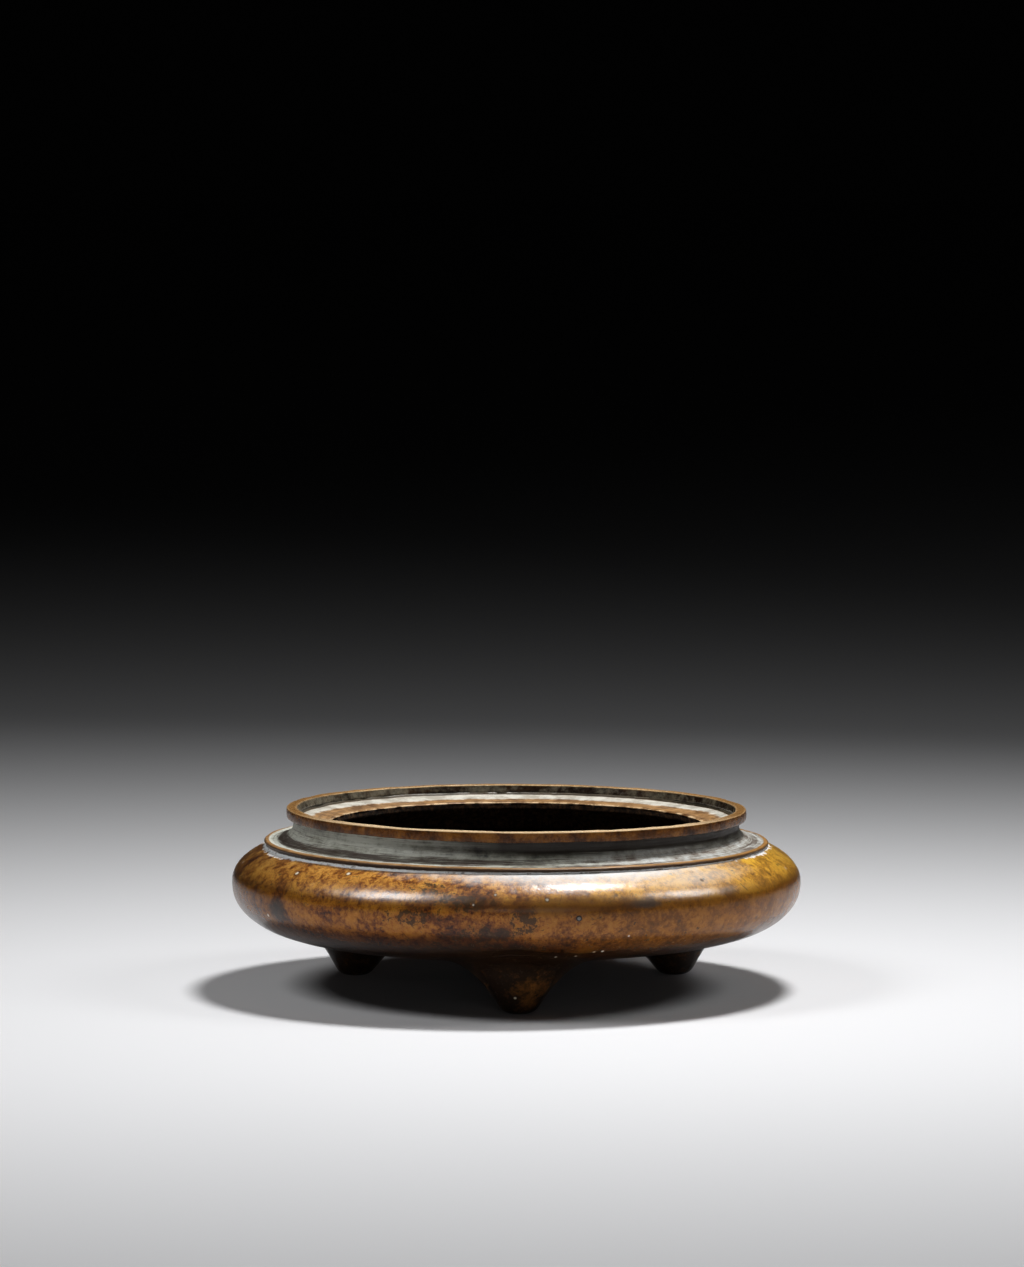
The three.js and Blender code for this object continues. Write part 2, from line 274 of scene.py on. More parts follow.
uneven_level = add(skin, "ShaderNodeMath", {0: clouds, 1: 0.005, 2: level}, operation="MULTIPLY_ADD")[0]
height = add(skin, "ShaderNodeMapRange", {0: uneven_level, 1: 0.0175, 2: 0.0465})[0]
left_tone_with_shade = add(skin, "ShaderNodeValToRGB", {0: height})[0]
right_tone_with_shade = add(skin, "ShaderNodeValToRGB", {0: height})[0]
set_stops(left_tone_with_shade, *zip(LEVELS, LEFT_TONES_WITH_SHADE))
set_stops(right_tone_with_shade, *zip(LEVELS, RIGHT_TONES_WITH_SHADE))
side = add(skin, "ShaderNodeMapRange", {0: axes["X"], 1: -0.006, 2: 0.035})[0]
tone_with_shade = add(skin, "ShaderNodeMix", {0: side, 6: left_tone_with_shade, 7: right_tone_with_shade}, data_type="RGBA")[2]
# Painted shade on the belly's far left edge.
far_left_shade = add(skin, "ShaderNodeMapRange", {0: axes["X"], 1: -0.060, 2: -0.083, 4: 0.55})[0]
tone_with_shade = add(skin, "ShaderNodeMix", {0: far_left_shade, 6: tone_with_shade, 7: linear("#2c1a0c")}, data_type="RGBA")[2]
# A mottle of browns in it, from 9 mm down to less than 1 mm, a little fainter on the right.
broad = add(skin, "ShaderNodeTexNoise",
            {"Vector": place, "Scale": per_metre(9), "Detail": 6.0, "Roughness": 0.7})["Fac"]
fine = add(skin, "ShaderNodeTexNoise",
           {"Vector": place, "Scale": per_metre(1.6), "Detail": 6.0, "Roughness": 0.76})["Fac"]
mottle = add(skin, "ShaderNodeMix", {0: 0.5, 2: broad, 3: fine})[0]
browns = add(skin, "ShaderNodeValToRGB", {0: mottle})[0]
set_stops(browns, (0.395, "#4d3320"), (0.46, "#a08060"), (0.53, "#eadcc0"), (0.605, "#fffdf4"))
mottled = add(skin, "ShaderNodeMapRange", {0: axes["X"], 1: 0.000, 2: 0.035, 3: 1.0, 4: 0.75})[0]
colour = add(skin, "ShaderNodeMix", {0: mottled, 6: tone_with_shade, 7: browns}, data_type="RGBA",
             blend_type="MULTIPLY")[2]
# Dark oxide lies in ragged patches with gold between them, crowded in front, left of the middle, and low
# on the belly, where painted shade is mixed in. Each place has its centre, its reach and how much it adds.
DARK_PLACES = (
    ((-26, -80, 39.3), (7, 40, 1.8), 0.22), ((-15, -83, 35.8), (11, 40, 2.6), 0.26),
    ((-32, -78, 31.4), (9, 40, 3), 0.22), ((-11, -84, 26.5), (12, 40, 3), 0.26),
    ((1.5, -86, 30.5), (4.5, 40, 4.5), 0.25), ((-8, -77, 19), (24, 40, 6), 0.28))
patch = add(skin, "ShaderNodeTexNoise",
            {"Vector": place, "Scale": per_metre(3.5), "Detail": 7.0, "Roughness": 0.7})["Fac"]
crowded = 0.0
for centre, dark_reach, most in DARK_PLACES:
    away = away_from(skin, place, centre, dark_reach)
    here = add(skin, "ShaderNodeMapRange", {0: away, 1: 1.2, 2: 0.6, 4: most})[0]
    crowded = add(skin, "ShaderNodeMath", {0: here, 1: crowded}, operation="MAXIMUM")[0]
middle = add(skin, "ShaderNodeMapRange", {0: axes["X"], 1: 0.012, 2: 0.000, 3: -0.11, 4: -0.08})[0]
crowded = add(skin, "ShaderNodeMath", {0: crowded, 1: middle}, operation="ADD")[0]
# Low on the belly the dark is partly darker patina and partly painted shade.
low = add(skin, "ShaderNodeMapRange", {0: level, 1: 0.026, 2: 0.017, 4: 0.12})[0]
broken_up = add(skin, "ShaderNodeMapRange", {0: fine, 1: 0.3, 2: 0.7, 3: -0.32, 4: 0.32})[0]
for more in (crowded, low, broken_up):
    patch = add(skin, "ShaderNodeMath", {0: patch, 1: more}, operation="ADD")[0]
dark = add(skin, "ShaderNodeMapRange", {0: patch, 1: 0.60, 2: 0.67, 4: 0.86})[0]
colour = add(skin, "ShaderNodeMix", {0: dark, 6: colour, 7: linear("#201206")}, data_type="RGBA")[2]
# The feet are dark brown, with worn spots of gold, most on the right of the front one.
WORN_PLACE = (4, -64, 7)
on_foot = add(skin, "ShaderNodeMapRange", {0: level, 1: 0.0165, 2: 0.0125})[0]
worn_spots = add(skin, "ShaderNodeTexNoise",
                 {"Vector": place, "Scale": per_metre(4), "Detail": 8.0, "Roughness": 0.8})["Fac"]
away = add(skin, "ShaderNodeVectorMath", {0: place, 1: in_metres(WORN_PLACE)}, operation="DISTANCE")["Value"]
worn_here = add(skin, "ShaderNodeMapRange", {0: away, 1: 0.007, 2: 0.001, 4: 0.16})[0]
worn_share = add(skin, "ShaderNodeMath", {0: worn_spots, 1: worn_here}, operation="ADD")[0]
worn_share = add(skin, "ShaderNodeMapRange", {0: worn_share, 1: 0.52, 2: 0.80, 4: 0.75})[0]
foot_tone = add(skin, "ShaderNodeMix", {0: worn_share, 6: linear("#2a1e16"), 7: linear("#97622a")},
                data_type="RGBA")[2]
colour = add(skin, "ShaderNodeMix", {0: on_foot, 6: colour, 7: foot_tone}, data_type="RGBA")[2]
# A thin bluish crust with a ragged lower edge stays on the shoulder, under the bead. In front it spreads to
# a broad pale patch, partly crust and partly a painted highlight of the lamp overhead, and right of that to
# a faint one that is a painted highlight. Each has its centre, its reach, how much it covers and how much
# wax it takes away.
PALE_CRUST_AND_HIGHLIGHT_PLACES = (((20, -76, 43.6), (41, 40, 2.7), 0.95, 0.9), ((50, -62, 40.5), (14, 40, 2.2), 0.4, 0.0))
ragged = add(skin, "ShaderNodeTexNoise",
             {"Vector": place, "Scale": per_metre(4), "Detail": 7.0, "Roughness": 0.72})["Fac"]
pale = 0.0
unwaxed = 0.0
for centre, pale_reach, most, bare in PALE_CRUST_AND_HIGHLIGHT_PLACES:
    away = away_from(skin, place, centre, pale_reach)
    away = add(skin, "ShaderNodeMath", {0: ragged, 1: -1.2, 2: away}, operation="MULTIPLY_ADD")[0]
    here = add(skin, "ShaderNodeMapRange", {0: away, 1: 1.1, 2: -0.4, 4: most},
               interpolation_type="SMOOTHSTEP")[0]
    pale = add(skin, "ShaderNodeMath", {0: here, 1: pale}, operation="MAXIMUM")[0]
    here = add(skin, "ShaderNodeMapRange", {0: away, 1: 1.9, 2: 0.6, 4: bare})[0]
    unwaxed = add(skin, "ShaderNodeMath", {0: here, 1: unwaxed}, operation="MAXIMUM")[0]
to_side = add(skin, "ShaderNodeMath", {0: axes["X"]}, operation="ABSOLUTE")[0]
thicker = add(skin, "ShaderNodeMapRange", {0: to_side, 1: 0.056, 2: 0.068, 4: 0.0007})[0]
crust = add(skin, "ShaderNodeMath", {0: level, 1: thicker}, operation="ADD")[0]
crust = add(skin, "ShaderNodeMapRange", {0: crust, 1: 0.0424, 2: 0.0436, 3: -1.5, 4: -0.5})[0]
crust = add(skin, "ShaderNodeMath", {0: ragged, 1: 2.5, 2: crust}, operation="MULTIPLY_ADD")[0]
crust = add(skin, "ShaderNodeMapRange", {0: crust, 1: 0.40, 2: 0.60, 4: 0.9})[0]
# From here on the crust mask also holds the painted highlight of the pale patches.
crust = add(skin, "ShaderNodeMath", {0: crust, 1: pale}, operation="MAXIMUM")[0]
crust_tone = add(skin, "ShaderNodeMix", {0: pale, 6: linear("#f6f8f8"), 7: linear("#eff1f2")},
                 data_type="RGBA")[2]
colour = add(skin, "ShaderNodeMix", {0: crust, 6: colour, 7: crust_tone}, data_type="RGBA")[2]
# Two grey stains, one far left and one right of the middle, and a broad brown one in the middle.
STAINS = (((-70.5, -46.5, 29), (4.5, 5, 4.5), "#2b2622", 0.8),
          ((36, -76.5, 34.7), (6, 5, 1.6), "#45423f", 0.8),
          ((13, -84, 35), (27, 40, 3.2), "#5a3205", 0.6))
for centre, stain_reach, stain_tone, most in STAINS:
    away = away_from(skin, place, centre, stain_reach)
    away = add(skin, "ShaderNodeMath", {0: ragged, 1: 1.6, 2: away}, operation="MULTIPLY_ADD")[0]
    stain = add(skin, "ShaderNodeMapRange", {0: away, 1: 1.9, 2: 1.3, 4: most})[0]
    colour = add(skin, "ShaderNodeMix", {0: stain, 6: colour, 7: linear(stain_tone)}, data_type="RGBA")[2]
# A dark ring round each core pin.
PIN_COUNT = 3
PIN_Z = 31.25
PIN_TURN = 11.4  # degrees from the front
for i in range(PIN_COUNT):
    pin_angle = math.radians(PIN_TURN + i * 360 / PIN_COUNT)
    centre = in_metres((BELLY_R * math.sin(pin_angle), -BELLY_R * math.cos(pin_angle), PIN_Z))
    away = add(skin, "ShaderNodeVectorMath", {0: place, 1: centre}, operation="DISTANCE")["Value"]
    ring_share = add(skin, "ShaderNodeMapRange", {0: away, 1: 0.0010, 2: 0.0008, 4: 0.8})[0]
    colour = add(skin, "ShaderNodeMix", {0: ring_share, 6: colour, 7: linear("#1d130c")},
                 data_type="RGBA")[2]
# Some of the pits hold dirt, and small nicks show bright metal.
PIT_SPACING = 6.0
NICK_SPACING = 8.0
SPECKS = ((PIT_SPACING, 0.6, 0.14, 0.07, 0.7, "#3b2a1d"), (NICK_SPACING, 0.8, 0.075, 0.05, 0.9, "#e6dac8"))
for spacing, left_out, edge, full, most, fill in SPECKS:
    cells = add(skin, "ShaderNodeTexVoronoi", {"Vector": place, "Scale": per_metre(spacing)})
    speck = add(skin, "ShaderNodeMapRange", {0: cells["Distance"], 1: edge, 2: full, 4: most})[0]
    chance = add(skin, "ShaderNodeSeparateXYZ", {0: cells["Color"]})["X"]
    chosen = add(skin, "ShaderNodeMath", {0: chance, 1: left_out}, operation="GREATER_THAN")[0]
    speck = add(skin, "ShaderNodeMath", {0: speck, 1: chosen}, operation="MULTIPLY")[0]
    colour = add(skin, "ShaderNodeMix", {0: speck, 6: colour, 7: linear(fill)}, data_type="RGBA")[2]
# The larger pits in front hold pale crust or dirt in a dark hollow, and two bright nicks lie on the left of
# the shoulder. Each has its centre, its size and what fills it.
CRUST_FILL = "#c4bdb0"
DIRT_FILL = "#241710"
METAL_FILL = "#fbf0dc"
MARKS = (
    ((7.6, -83.7, 36.6), 0.5, CRUST_FILL), ((-7.2, -82.7, 38.0), 0.45, CRUST_FILL),
    ((-13.5, -83.6, 35.2), 0.35, CRUST_FILL), ((19.2, -80.4, 24.6), 0.35, DIRT_FILL),
    ((21.4, -74.6, 20.4), 0.4, CRUST_FILL), ((10.4, -73.9, 18.8), 0.45, CRUST_FILL),
    ((16.1, -73.4, 19.1), 0.35, CRUST_FILL), ((-7.5, -74.6, 19.3), 0.4, CRUST_FILL),
    ((-64.9, -47.5, 40.2), 0.75, METAL_FILL), ((-49.7, -60.1, 41.6), 0.65, METAL_FILL))
for centre, size, fill in MARKS:
    size *= MM
    away = add(skin, "ShaderNodeVectorMath", {0: place, 1: in_metres(centre)}, operation="DISTANCE")["Value"]
    away = add(skin, "ShaderNodeMath", {0: ragged, 1: 2.2 * size, 2: away}, operation="MULTIPLY_ADD")[0]
    hollow = add(skin, "ShaderNodeMapRange", {0: away, 1: 2.9 * size, 2: 2.3 * size, 4: 0.5})[0]
    colour = add(skin, "ShaderNodeMix", {0: hollow, 6: colour, 7: linear("#2b1d13")}, data_type="RGBA")[2]
    filled = add(skin, "ShaderNodeMapRange", {0: away, 1: 2.1 * size, 2: 1.7 * size, 4: 0.9})[0]
    colour = add(skin, "ShaderNodeMix", {0: filled, 6: colour, 7: linear(fill)}, data_type="RGBA")[2]
# Short scratches of about 4 mm run three ways; they are 0.4 mm wide, so that they show.
SCRATCH_TURNS = (25, -40, 80)
SCRATCH_SIZE = (per_metre(4), per_metre(3), per_metre(0.4))
for turn_by in SCRATCH_TURNS:
    along = add(skin, "ShaderNodeVectorRotate", {"Vector": place, "Angle": math.radians(turn_by)},
                rotation_type="Y_AXIS")[0]
    along = add(skin, "ShaderNodeVectorMath", {0: along, 1: SCRATCH_SIZE}, operation="MULTIPLY")[0]
    scratch = add(skin, "ShaderNodeTexNoise", {"Vector": along, "Scale": 1.0, "Detail": 1.0})["Fac"]
    scratch = add(skin, "ShaderNodeMapRange", {0: scratch, 1: 0.70, 2: 0.75, 4: 0.55})[0]
    scratch = add(skin, "ShaderNodeMath", {0: scratch, 1: crust}, operation="SUBTRACT", use_clamp=True)[0]
    colour = add(skin, "ShaderNodeMix", {0: scratch, 6: colour, 7: linear("#2b1a0e")}, data_type="RGBA")[2]
# Soot inside, with a little grey ash and brown in it.
soot = add(skin, "ShaderNodeAttribute", attribute_name="soot")["Fac"]
sooty = add(skin, "ShaderNodeValToRGB", {0: mottle})[0]
set_stops(sooty, (0.40, "#0e0b09"), (0.54, "#211811"), (0.66, "#4a4037"))
colour = add(skin, "ShaderNodeMix", {0: soot, 6: colour, 7: sooty}, data_type="RGBA")[2]
# Gloss varies with the mottle; crust and soot have hardly any.
dull = add(skin, "ShaderNodeMapRange", {0: fine, 1: 0.3, 2: 0.7, 3: 0.17, 4: 0.3})[0]
dull = add(skin, "ShaderNodeMix", {0: crust, 2: dull, 3: 0.65})[0]
dull = add(skin, "ShaderNodeMix", {0: soot, 2: dull, 3: 0.9})[0]
# Wax polish stays where hands rub it, on the shoulder, and none on the crust or close to the broad pale
# patch of crust and painted highlight.
waxed = add(skin, "ShaderNodeMapRange", {0: level, 1: 0.0330, 2: 0.0360, 3: 0.05, 4: 1.0})[0]
unsooted = add(skin, "ShaderNodeMath", {0: 1.0, 1: soot}, operation="SUBTRACT")[0]
uncrusted = add(skin, "ShaderNodeMapRange", {0: crust, 1: 0.0, 2: 0.6, 3: 1.0, 4: 0.0})[0]
for share in (unsooted, uncrusted):
    waxed = add(skin, "ShaderNodeMath", {0: waxed, 1: share}, operation="MULTIPLY")[0]
waxed = add(skin, "ShaderNodeMix", {0: unwaxed, 2: waxed, 3: 0.0})[0]
# The rubbed grain of the casting, about 0.9 mm, on an unevenness of 4 mm.
grain = add(skin, "ShaderNodeTexNoise",
            {"Vector": place, "Scale": per_metre(0.9), "Detail": 4.0, "Roughness": 0.6})["Fac"]
uneven = add(skin, "ShaderNodeTexNoise", {"Vector": place, "Scale": per_metre(4), "Detail": 3.0})["Fac"]
relief = add(skin, "ShaderNodeMath", {0: uneven, 1: 2.0, 2: grain}, operation="MULTIPLY_ADD")[0]
bump = add(skin, "ShaderNodeBump", {"Strength": 0.2, "Distance": 0.0002, "Height": relief})[0]
shader = add(skin, "ShaderNodeBsdfPrincipled", {
    "Base Color": colour, "Roughness": dull, "Normal": bump, "IOR": 1.28,
    "Coat Weight": waxed, "Coat Roughness": 0.31, "Coat IOR": 2.25, "Coat Normal": bump})[0]
add(skin, "ShaderNodeOutputMaterial", {0: shader})

made_plain(bowl, worn, worn_sizes, {
    "Wander": 0.5 * MM, "Wander size": 40 * MM, "Dent": 0.3 * MM, "Dent size": 14 * MM,
    "Pit depth": 0.1 * MM, "Pit spacing": PIT_SPACING * MM, "Material": patina})
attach(bowl, "root")
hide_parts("bowl")

# The feet: three cast cones with round ends and a broad flare, let into the bowl's floor with a tenon.
# They are steeper outside than inside, and have the bowl's patina, dark but for worn spots of gold.
FOOT_COUNT = 3
FOOT_R = 56.1
FOOT_TIP_R = 2.2
FOOT_TIP_ROUND = 4.2
FOOT_SLOPE = 55.5  # degrees above level
FOOT_LEAN = 7.0  # degrees steeper outside, and as much gentler inside
FOOT_BLEND = 11.3  # height over which it flares into the underside
FOOT_AROUND = 120
FOOT_RINGS = 44
FLARE_LIMIT = 30.0  # no flare reaches farther from the foot's centre
FLARE_EDGE = 0.02  # the flare ends where it hangs no lower than this
FLARE_SINK = 0.6  # its edge runs this far up into the bowl's wall, so that no seam shows
HALVINGS = 40  # in the search for the flare's edge


def underside_at(r):
    share = np.clip((r - TURN_R) / (BELLY_R - TURN_R), 0, 1)
    angle = np.arccos(share ** (TURN_SQUARENESS / 2))
    return BELLY_Z + (UNDERSIDE_Z - BELLY_Z) * np.sin(angle) ** (2 / TURN_SQUARENESS)


def foot_side_at(distance, turn):
    slope = np.radians(FOOT_SLOPE - FOOT_LEAN * np.sin(turn))
    out = np.maximum(distance - FOOT_TIP_R, 0)
    round_end = FOOT_TIP_ROUND * np.sin(slope)
    on_round = FOOT_TIP_ROUND - np.sqrt(np.maximum(FOOT_TIP_ROUND ** 2 - out ** 2, 0))
    on_slope = FOOT_TIP_ROUND * (1 - np.cos(slope)) + (out - round_end) * np.tan(slope)
    return np.where(out < round_end, on_round, on_slope)


def foot_ring(distance):
    """The foot's outside at a distance from its centre, and the heights of the bowl and the cone there."""
    turns = np.arange(FOOT_AROUND) * 2 * math.pi / FOOT_AROUND
    x = distance * np.cos(turns)
    y = -FOOT_R + distance * np.sin(turns)
    side, under = foot_side_at(distance, turns), underside_at(np.hypot(x, y))
    near = np.maximum(FOOT_BLEND - np.abs(side - under), 0)
    z = np.minimum(side, under) - near ** 2 / (4 * FOOT_BLEND)
    return x, y, z, under, side


reach, beyond = np.full(FOOT_AROUND, FOOT_TIP_R), np.full(FOOT_AROUND, FLARE_LIMIT)
for _ in range(HALVINGS):
    halfway = (reach + beyond) / 2
    x, y, z, under, side = foot_ring(halfway)
    on_flare = (side < under) | (under - z > FLARE_EDGE)
    reach, beyond = np.where(on_flare, halfway, reach), np.where(on_flare, beyond, halfway)
foot_points = [[(0, -FOOT_R, 0)]]
for share in np.arange(FOOT_RINGS) / (FOOT_RINGS - 1):
    x, y, z, under, side = foot_ring(FOOT_TIP_R + (reach - FOOT_TIP_R) * share)
    foot_points.append(np.column_stack([x, y, z]))
foot_points.append(np.column_stack([x, y, under + FLARE_SINK]))
foot_points.append([(0, -FOOT_R, UNDERSIDE_Z + FLARE_SINK)])
foot_points = np.concatenate(foot_points)
foot_faces = closed_faces(FOOT_RINGS + 1, FOOT_AROUND, tips=True)
feet = mesh_object("feet", foot_points, foot_faces, np.zeros(len(foot_points)))

# Copies of a piece at even turns round the axis, the first turned by a given angle from the front.
ring, ring_sizes = new_tree("ring of copies", {
    "Count": "NodeSocketInt", "Turn": "NodeSocketFloat", "Material": "NodeSocketMaterial"})
given = add(ring, "NodeGroupInput")
spots = add(ring, "GeometryNodePoints", {"Count": given["Count"]})[0]
number = add(ring, "GeometryNodeInputIndex")[0]
step = add(ring, "ShaderNodeMath", {0: 2 * math.pi, 1: given["Count"]}, operation="DIVIDE")[0]
angle = add(ring, "ShaderNodeMath", {0: number, 1: step, 2: given["Turn"]}, operation="MULTIPLY_ADD")[0]
spin = add(ring, "ShaderNodeCombineXYZ", {2: angle})[0]
copies = add(ring, "GeometryNodeInstanceOnPoints",
             {"Points": spots, "Instance": given["Geometry"], "Rotation": spin})[0]
plain = add(ring, "GeometryNodeRealizeInstances", {0: copies})[0]
dressed = add(ring, "GeometryNodeSetMaterial", {"Geometry": plain, "Material": given["Material"]})[0]
add(ring, "NodeGroupOutput", {0: dressed})

made_plain(feet, ring, ring_sizes, {"Count": FOOT_COUNT, "Turn": 0.0, "Material": patina})
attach(feet, "root")
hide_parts("foot_front", "foot_rear_right", "foot_rear_left")

# The core pins: small bronze pegs that held the core while the bowl was cast, cut off flush with the belly.
# Each shows as a grey dot in a dark ring, a little below the belly's widest level.
PIN_R = 0.85
PIN_AROUND = 24
PIN_BACK = 3.0  # its hidden end, inside the belly's widest radius
PIN_SINK = 0.1  # where its rounded end starts, inside the belly's widest radius
PIN_ROUND = 0.25  # height of that end
PIN_CLEAN = 0.55  # share of its radius that is free of dirt


def arc(r, z, half_width, half_height, start, end, steps):
    """Part of an upright ellipse; the angles are degrees from the outward direction."""
    angles = np.radians(np.linspace(start, end, steps + 1))
    return list(zip(r + half_width * np.cos(angles), z + half_height * np.sin(angles)))


pin_section = joined(
    [(0, BELLY_R - PIN_BACK)],
    straight((PIN_R, BELLY_R - PIN_BACK), (PIN_R, BELLY_R - PIN_SINK), 2),
    arc(0, BELLY_R - PIN_SINK, PIN_R, PIN_ROUND, 0, 90, 6))
pin_turns = np.arange(PIN_AROUND) * 2 * math.pi / PIN_AROUND
pin_points = [(0, -pin_section[0][1], PIN_Z)]
pin_dirt = [1.0]
for r, out in pin_section[1:-1]:
    pin_points += [(r * math.sin(a), -out, PIN_Z + r * math.cos(a)) for a in pin_turns]
    pin_dirt += [float(r > PIN_CLEAN * PIN_R)] * PIN_AROUND
pin_points.append((0, -pin_section[-1][1], PIN_Z))
pin_dirt.append(0.0)
pin_faces = closed_faces(len(pin_section) - 2, PIN_AROUND, tips=True)
pins = mesh_object("core_pins", pin_points, pin_faces, pin_dirt)

# Bare bronze gone dull grey, with dirt round its edge, which the mesh carries in place of soot.
pin_metal, tree = new_finish("dull grey bronze")
place = add(tree, "ShaderNodeTexCoord")["Object"]
spots = add(tree, "ShaderNodeTexNoise", {"Vector": place, "Scale": per_metre(0.6), "Detail": 3.0})["Fac"]
grey = add(tree, "ShaderNodeValToRGB", {0: spots})[0]
set_stops(grey, (0.0, "#5d564f"), (1.0, "#8d8781"))
dirt = add(tree, "ShaderNodeAttribute", attribute_name="soot")["Fac"]
colour = add(tree, "ShaderNodeMix", {0: dirt, 6: grey, 7: linear("#1d130c")}, data_type="RGBA")[2]
shader = add(tree, "ShaderNodeBsdfPrincipled", {"Base Color": colour, "Metallic": 0.3, "Roughness": 0.45})[0]
add(tree, "ShaderNodeOutputMaterial", {0: shader})
made_plain(pins, ring, ring_sizes, {
    "Count": PIN_COUNT, "Turn": math.radians(PIN_TURN), "Material": pin_metal})
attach(pins, "root")
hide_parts("core_pin_front", "core_pin_rear_right", "core_pin_rear_left")

# The neck collar: a cast ring with a hollow neck, a bead at its foot and a sloping ledge in its mouth.
# Its spigot drops into the bowl's mouth, and the dark line under the bead is the joint.
COLLAR_SINK = 0.3  # how far it goes into the bowl's seat, so that no gap shows
COLLAR_SET = 0.05  # its lowest edge inside the seat's edge
TUCK = 0.5
TUCK_RISE = 1.1
CRUST_RISE = 0.5  # crust that fills the corner below the tuck
BEAD_RISE = 0.4
BEAD_ROUND = 0.65
BEAD_WIDTH = 1.3
CREASE = 0.2
COVE_DEPTH = 7.3
COVE_RISE = 4.7
NECK_RISE = 2.5
NECK_WALL = 3.4
NECK_INSIDE = (-166, -127.5)  # degrees, the part of the hollow's curve that the wall has inside
RIM_WALL = 1.7
LEDGE_STEP = 0.6
LEDGE_WIDTH = 9.15
LEDGE_FALL = 1.66
LEDGE_THICK = 2.1
LEDGE_BACK = (62.2, 48.75)  # radius and height where its underside meets the neck's wall
CORNER_ROUND = 0.45  # hollow corner between lip and ledge
CORNER_RUN = 0.3  # from that corner to where the ledge is straight
EDGE_ROUND = 0.2  # worn edge of the mouth
SPIGOT_GAP = 0.3
SPIGOT_DEPTH = 2.4
SPIGOT_WALL = 3.2
bead_z = SEAT_Z + TUCK_RISE + BEAD_RISE
cove_r = SEAT_R - BEAD_WIDTH - CREASE
neck_z = bead_z + BEAD_ROUND - CREASE + COVE_RISE
neck_r = cove_r - COVE_DEPTH
ledge_r = neck_r - RIM_WALL
lip_seat_z = neck_z + NECK_RISE
corner_z = lip_seat_z - LEDGE_STEP
edge_r = ledge_r - LEDGE_WIDTH
edge_z = corner_z - LEDGE_FALL
spigot_r = MOUTH_R - SPIGOT_GAP
spigot_z = SEAT_Z - SPIGOT_DEPTH
sunk_z = SEAT_Z - COLLAR_SINK
tuck_r = SEAT_R - TUCK
ledge_slope = LEDGE_FALL / LEDGE_WIDTH
ledge_start = CORNER_ROUND + CORNER_RUN
shown = joined(
    straight((spigot_r, sunk_z), (SEAT_R - COLLAR_SET, sunk_z), 3),
    straight((SEAT_R - COLLAR_SET, sunk_z), (tuck_r, SEAT_Z + CRUST_RISE), 3),
    straight((tuck_r, SEAT_Z + CRUST_RISE), (tuck_r, SEAT_Z + TUCK_RISE), 2),
    straight((tuck_r, SEAT_Z + TUCK_RISE), (SEAT_R, bead_z), 3),
    arc(SEAT_R - BEAD_WIDTH, bead_z, BEAD_WIDTH, BEAD_ROUND, 0, 90, 8),
    arc(cove_r, neck_z, COVE_DEPTH, COVE_RISE, -90, -180, 26),
    straight((neck_r, neck_z), (neck_r, lip_seat_z), 5),
    straight((neck_r, lip_seat_z), (ledge_r, lip_seat_z), 2),
    straight((ledge_r, lip_seat_z), (ledge_r, corner_z + CORNER_ROUND * 0.4), 1),
    arc(ledge_r - CORNER_ROUND, corner_z + CORNER_ROUND * 0.75, CORNER_ROUND, CORNER_ROUND, -8, -82, 7),
    straight((ledge_r - ledge_start, corner_z - ledge_start * ledge_slope),
             (edge_r + EDGE_ROUND, edge_z + EDGE_ROUND * ledge_slope), 12),
    arc(edge_r + EDGE_ROUND, edge_z - EDGE_ROUND, EDGE_ROUND, EDGE_ROUND, 95, 180, 5),
)
hidden = joined(
    straight((edge_r, edge_z - EDGE_ROUND), (edge_r, edge_z - LEDGE_THICK), 3),
    straight((edge_r, edge_z - LEDGE_THICK), LEDGE_BACK, 4),
    arc(cove_r, neck_z, COVE_DEPTH + NECK_WALL, COVE_RISE + NECK_WALL, *NECK_INSIDE, 6),
    straight((spigot_r - SPIGOT_WALL, spigot_z), (spigot_r, spigot_z), 2),
    straight((spigot_r, spigot_z), (spigot_r, sunk_z - COLLAR_SINK), 1),
)
COLLAR_LEAN = (-0.0055, 0, -0.2)  # it sits a third of a degree low on the right
collar = turned("neck_collar_body", shown + hidden, [0.0] * len(shown) + [1.0] * len(hidden), COLLAR_LEAN)

# Bronze under a pale grey-green mineral crust, nearly matt, streaked round the neck; it is rubbed through to
# copper brown on the bead and the ledge. Painted shade darkens the neck under the lip, and painted
# highlights lie on the mouth's edge, the ledge's corner and the foot of the neck on the right, with painted
# light on the bead's right.
crusted, coat = new_finish("bronze with a grey-green crust")
place = add(coat, "ShaderNodeTexCoord")["Object"]
axes = add(coat, "ShaderNodeSeparateXYZ", {0: place})
flat = add(coat, "ShaderNodeCombineXYZ", {0: axes["X"], 1: axes["Y"]})[0]
radius = add(coat, "ShaderNodeVectorMath", {0: flat}, operation="LENGTH")["Value"]
level = add(coat, "ShaderNodeMath", {0: axes["X"], 1: -COLLAR_LEAN[0], 2: axes["Z"]},
            operation="MULTIPLY_ADD")[0]
# Streaks run round the neck, about 26 mm along and 1 mm across, over blotches of 5 mm, paler on the left.
across = add(coat, "ShaderNodeMath", {0: radius, 1: -0.7, 2: level}, operation="MULTIPLY_ADD")[0]
across = add(coat, "ShaderNodeMath", {0: across, 1: 30.0}, operation="MULTIPLY")[0]
along = add(coat, "ShaderNodeCombineXYZ", {0: axes["X"], 1: axes["Y"], 2: across})[0]
streaks = add(coat, "ShaderNodeTexNoise",
              {"Vector": along, "Scale": per_metre(26), "Detail": 9.0, "Roughness": 0.72})["Fac"]
blotches = add(coat, "ShaderNodeTexNoise",
               {"Vector": place, "Scale": per_metre(5), "Detail": 8.0, "Roughness": 0.72})["Fac"]
mottle = add(coat, "ShaderNodeMix", {0: 0.45, 2: streaks, 3: blotches})[0]
paler = add(coat, "ShaderNodeMapRange", {0: axes["X"], 1: 0.000, 2: -0.040, 3: 0.015, 4: 0.085})[0]
mottle = add(coat, "ShaderNodeMath", {0: mottle, 1: paler}, operation="ADD")[0]
